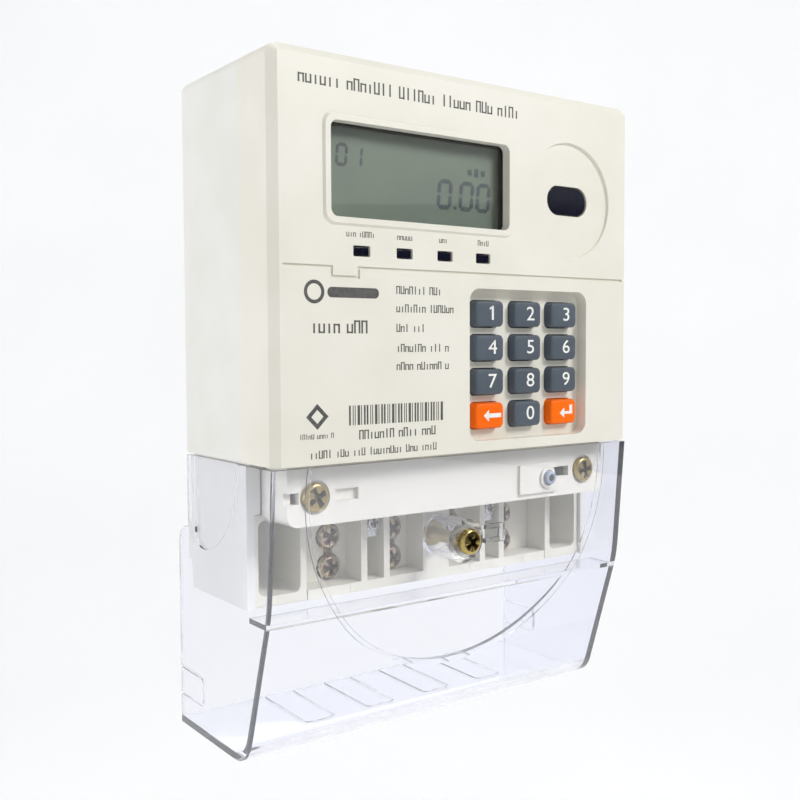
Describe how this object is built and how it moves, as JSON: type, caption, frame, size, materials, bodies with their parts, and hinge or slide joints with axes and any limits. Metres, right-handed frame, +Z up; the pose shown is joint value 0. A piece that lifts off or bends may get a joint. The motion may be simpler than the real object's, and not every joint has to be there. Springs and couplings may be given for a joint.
{
  "type": "prepaid electricity meter",
  "caption": "Wall-mounted single-phase prepaid electricity meter with display, sprung keypad, optical port, screw terminals and a clear removable terminal cover.",
  "frame": {"origin": "on the wall, midway between the two lower fixing screws, on the rear face of the base's foot bar", "axes": "+X to the viewer's right, +Y into the wall, +Z up; the front faces -Y"},
  "size_m": [0.125, 0.0574, 0.1802],
  "materials": {
    "case_ivory": "fine satin moulded polycarbonate, warm ivory",
    "base_ivory": "fine satin moulded polycarbonate, slightly cooler ivory",
    "block_ivory": "satin moulded thermoset, darker ivory",
    "clear_cover": "clear polished polycarbonate",
    "display_pane": "clear flat pane",
    "lcd_green": "grey-green liquid crystal panel",
    "dark_window": "infrared-pass tinted window, nearly black",
    "black_plastic": "black moulding",
    "key_slate": "silicone key, slate grey with white figures",
    "key_orange": "silicone key, orange with white arrows",
    "grey_rubber": "plain silicone",
    "green_board": "solder-masked circuit board",
    "blue_sleeve": "blue sleeve",
    "brass": "yellow passivated, worn",
    "nickel": "nickel plated",
    "zinc_steel": "zinc plated sheet",
    "button_grey": "grey plunger"
  },
  "bodies": {
    "root": {"front_cover": "case_ivory", "base": "base_ivory", "terminal_block": "block_ivory", "terminal_block_end_left": "block_ivory", "terminal_block_end_right": "block_ivory", "display_window": "display_pane", "lcd_panel": "lcd_green", "optical_window": "dark_window", "led_window_1": "dark_window", "led_window_2": "dark_window", "led_window_3": "dark_window", "led_window_4": "dark_window", "lcd_holder": "black_plastic", "latching_relay": "black_plastic", "buzzer": "black_plastic", "optical_sender": "black_plastic", "optical_receiver": "black_plastic", "cover_switch": "black_plastic", "case_gasket": "grey_rubber", "keypad_mat": "grey_rubber", "circuit_board": "green_board", "current_transformer": "blue_sleeve", "supply_capacitor": "blue_sleeve", "case_screw_left": "brass", "case_screw_right": "brass", "cover_screw_insert": "brass", "terminal_1": "brass", "terminal_2": "brass", "terminal_3": "brass", "terminal_4": "brass", "backup_battery": "nickel", "aux_terminal_1": "nickel", "aux_terminal_2": "nickel", "hanger_screw": "nickel", "hanger_plate": "zinc_steel"},
    "terminal_cover": {"terminal_cover": "clear_cover"},
    "cover_screw": {"cover_screw": "brass"},
    "cover_switch_button": {"cover_switch_button": "button_grey"},
    "key_1": {"key_1": "key_slate"},
    "key_2": {"key_2": "key_slate"},
    "key_3": {"key_3": "key_slate"},
    "key_4": {"key_4": "key_slate"},
    "key_5": {"key_5": "key_slate"},
    "key_6": {"key_6": "key_slate"},
    "key_7": {"key_7": "key_slate"},
    "key_8": {"key_8": "key_slate"},
    "key_9": {"key_9": "key_slate"},
    "key_delete": {"key_delete": "key_orange"},
    "key_0": {"key_0": "key_slate"},
    "key_enter": {"key_enter": "key_orange"},
    "terminal_screw_1_upper": {"terminal_screw_1_upper": "brass"},
    "terminal_screw_1_lower": {"terminal_screw_1_lower": "brass"},
    "terminal_screw_2_upper": {"terminal_screw_2_upper": "brass"},
    "terminal_screw_2_lower": {"terminal_screw_2_lower": "brass"},
    "terminal_screw_3_upper": {"terminal_screw_3_upper": "brass"},
    "terminal_screw_3_lower": {"terminal_screw_3_lower": "brass"},
    "terminal_screw_4_upper": {"terminal_screw_4_upper": "brass"},
    "terminal_screw_4_lower": {"terminal_screw_4_lower": "brass"},
    "aux_screw_1": {"aux_screw_1": "nickel"},
    "aux_screw_2": {"aux_screw_2": "nickel"}
  },
  "joints": [
    {"name": "press_1", "type": "slide", "parent": "root", "child": "key_1", "axis": [0, 1, 0], "range_m": [0, 0.0013], "stiffness_N_per_m": 1000, "springref_m": -0.0006},
    {"name": "press_2", "type": "slide", "parent": "root", "child": "key_2", "axis": [0, 1, 0], "range_m": [0, 0.0013], "stiffness_N_per_m": 1000, "springref_m": -0.0006},
    {"name": "press_3", "type": "slide", "parent": "root", "child": "key_3", "axis": [0, 1, 0], "range_m": [0, 0.0013], "stiffness_N_per_m": 1000, "springref_m": -0.0006},
    {"name": "press_4", "type": "slide", "parent": "root", "child": "key_4", "axis": [0, 1, 0], "range_m": [0, 0.0013], "stiffness_N_per_m": 1000, "springref_m": -0.0006},
    {"name": "press_5", "type": "slide", "parent": "root", "child": "key_5", "axis": [0, 1, 0], "range_m": [0, 0.0013], "stiffness_N_per_m": 1000, "springref_m": -0.0006},
    {"name": "press_6", "type": "slide", "parent": "root", "child": "key_6", "axis": [0, 1, 0], "range_m": [0, 0.0013], "stiffness_N_per_m": 1000, "springref_m": -0.0006},
    {"name": "press_7", "type": "slide", "parent": "root", "child": "key_7", "axis": [0, 1, 0], "range_m": [0, 0.0013], "stiffness_N_per_m": 1000, "springref_m": -0.0006},
    {"name": "press_8", "type": "slide", "parent": "root", "child": "key_8", "axis": [0, 1, 0], "range_m": [0, 0.0013], "stiffness_N_per_m": 1000, "springref_m": -0.0006},
    {"name": "press_9", "type": "slide", "parent": "root", "child": "key_9", "axis": [0, 1, 0], "range_m": [0, 0.0013], "stiffness_N_per_m": 1000, "springref_m": -0.0006},
    {"name": "press_delete", "type": "slide", "parent": "root", "child": "key_delete", "axis": [0, 1, 0], "range_m": [0, 0.0013], "stiffness_N_per_m": 1000, "springref_m": -0.0006},
    {"name": "press_0", "type": "slide", "parent": "root", "child": "key_0", "axis": [0, 1, 0], "range_m": [0, 0.0013], "stiffness_N_per_m": 1000, "springref_m": -0.0006},
    {"name": "press_enter", "type": "slide", "parent": "root", "child": "key_enter", "axis": [0, 1, 0], "range_m": [0, 0.0013], "stiffness_N_per_m": 1000, "springref_m": -0.0006},
    {"name": "press_cover_switch", "type": "slide", "parent": "root", "child": "cover_switch_button", "axis": [0, 1, 0], "range_m": [0, 0.0015], "stiffness_N_per_m": 600, "springref_m": -0.0006},
    {"name": "cover_pull_off", "type": "slide", "parent": "root", "child": "terminal_cover", "axis": [0, -1, 0], "range_m": [0, 0.06]},
    {"name": "cover_screw_turn", "type": "hinge", "parent": "terminal_cover", "child": "cover_screw", "pos_m": [0, -0.05444, 0.0008], "axis": [0, 1, 0], "continuous": true},
    {"name": "terminal_screw_1_upper_turn", "type": "hinge", "parent": "root", "child": "terminal_screw_1_upper", "pos_m": [-0.0321, -0.0295, 0.00255], "axis": [0, 1, 0], "continuous": true},
    {"name": "terminal_screw_1_lower_turn", "type": "hinge", "parent": "root", "child": "terminal_screw_1_lower", "pos_m": [-0.0321, -0.0295, -0.00595], "axis": [0, 1, 0], "continuous": true},
    {"name": "terminal_screw_2_upper_turn", "type": "hinge", "parent": "root", "child": "terminal_screw_2_upper", "pos_m": [-0.0107, -0.0295, 0.00255], "axis": [0, 1, 0], "continuous": true},
    {"name": "terminal_screw_2_lower_turn", "type": "hinge", "parent": "root", "child": "terminal_screw_2_lower", "pos_m": [-0.0107, -0.0295, -0.00595], "axis": [0, 1, 0], "continuous": true},
    {"name": "terminal_screw_3_upper_turn", "type": "hinge", "parent": "root", "child": "terminal_screw_3_upper", "pos_m": [0.0107, -0.0295, 0.00255], "axis": [0, 1, 0], "continuous": true},
    {"name": "terminal_screw_3_lower_turn", "type": "hinge", "parent": "root", "child": "terminal_screw_3_lower", "pos_m": [0.0107, -0.0295, -0.00595], "axis": [0, 1, 0], "continuous": true},
    {"name": "terminal_screw_4_upper_turn", "type": "hinge", "parent": "root", "child": "terminal_screw_4_upper", "pos_m": [0.0321, -0.0295, 0.00255], "axis": [0, 1, 0], "continuous": true},
    {"name": "terminal_screw_4_lower_turn", "type": "hinge", "parent": "root", "child": "terminal_screw_4_lower", "pos_m": [0.0321, -0.0295, -0.00595], "axis": [0, 1, 0], "continuous": true},
    {"name": "aux_screw_1_turn", "type": "hinge", "parent": "root", "child": "aux_screw_1", "pos_m": [-0.0214, -0.0373, 0.0061], "axis": [0, 1, 0], "continuous": true},
    {"name": "aux_screw_2_turn", "type": "hinge", "parent": "root", "child": "aux_screw_2", "pos_m": [0.0214, -0.0373, 0.0061], "axis": [0, 1, 0], "continuous": true}
  ]
}
